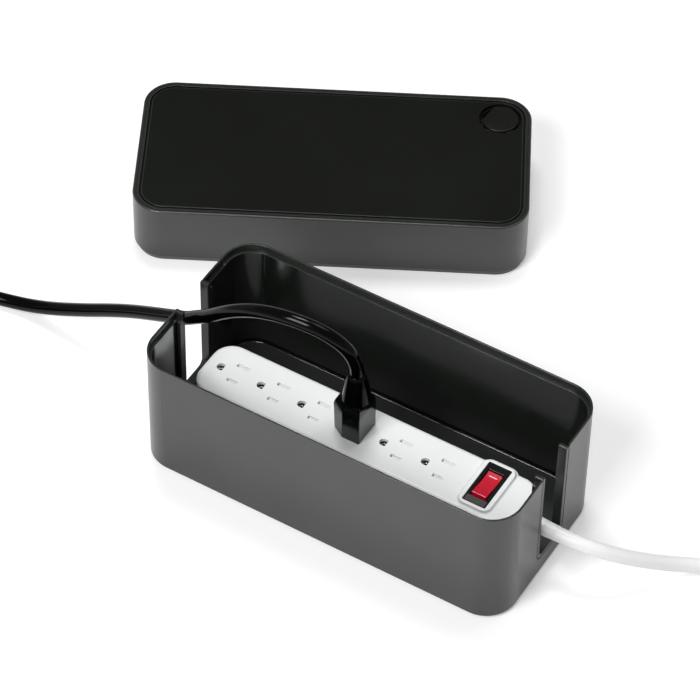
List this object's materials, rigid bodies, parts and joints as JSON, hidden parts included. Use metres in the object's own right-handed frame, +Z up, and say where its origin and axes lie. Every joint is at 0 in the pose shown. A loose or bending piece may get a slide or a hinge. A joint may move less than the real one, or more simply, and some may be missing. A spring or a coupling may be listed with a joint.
{
  "type": "cable management box",
  "caption": "Rounded desk box that hides a power strip: deep base with a lined slot in each end, lift-off lid with a mat and a turning port cover, and the strip with its leads.",
  "frame": {"origin": "on the floor under the middle of the base, in the plane of its feet", "axes": "+X along the box towards the end that the strip's cord leaves, +Y towards the back, where the lid lies, +Z up"},
  "size_m": [0.6705, 0.4168, 0.1294],
  "materials": {
    "box_plastic": "fine satin texture, dark grey",
    "liner_plastic": "satin, darker grey",
    "pad_rubber": "matt foam rubber",
    "mat_surface": "near-black soft-touch surface",
    "black_plastic": "satin black",
    "white_plastic": "smooth semi-gloss white",
    "red_plastic": "glossy translucent red",
    "white_cord": "smooth white vinyl",
    "black_cord": "smooth black vinyl",
    "brass": "bare metal",
    "steel": "zinc plated"
  },
  "bodies": {
    "base": {"base_shell": "box_plastic", "left_slot_liner": "liner_plastic", "right_slot_liner": "liner_plastic", "floor_pad": "pad_rubber", "rubber_feet": "pad_rubber", "strip_cord_run": "white_cord", "strip_cord_coil": "white_cord", "strip_cord_plug": "white_cord", "strip_cord_prongs": "brass", "strip_cord_tie": "white_cord", "lead_run_outer": "black_cord", "lead_coil": "black_cord", "lead_connector": "black_cord", "lead_tie": "pad_rubber"},
    "lid": {"lid_shell": "box_plastic", "lid_mat": "mat_surface", "port_ring": "black_plastic"},
    "cover": {"port_cover": "mat_surface", "port_cover_screw": "steel"},
    "power_strip": {"strip_lower_shell": "white_plastic", "strip_upper_shell": "white_plastic", "strip_screws": "steel", "neutral_bus": "brass", "live_bus": "brass", "earth_bus": "brass", "switch_bezel": "black_plastic", "switch_terminals": "brass", "strip_strain_relief": "white_cord"},
    "rocker": {"switch_rocker": "red_plastic"},
    "lead_plug": {"lead_plug_body": "black_cord", "lead_plug_blades": "brass", "lead_plug_earth_pin": "brass", "lead_strain_relief": "black_cord", "lead_run_inner": "black_cord"}
  },
  "joints": [
    {"name": "lid_lift", "type": "slide", "parent": "base", "child": "lid", "axis": [0, 0, 1], "range_m": [0, 0.12]},
    {"name": "cover_turn", "type": "hinge", "parent": "lid", "child": "cover", "pos_m": [-0.06177, 0.26665, 0.04], "axis": [0, 0, 1], "continuous": true},
    {"name": "strip_lift", "type": "slide", "parent": "base", "child": "power_strip", "axis": [0, 0, 1], "range_m": [0, 0.06]},
    {"name": "rocker_press", "type": "hinge", "parent": "power_strip", "child": "rocker", "pos_m": [0.082, -0.003, 0.0434], "axis": [1, 0, 0], "range_deg": [0, 16]},
    {"name": "plug_pull", "type": "slide", "parent": "power_strip", "child": "lead_plug", "axis": [0, 0, 1], "range_m": [0, 0.03]}
  ]
}
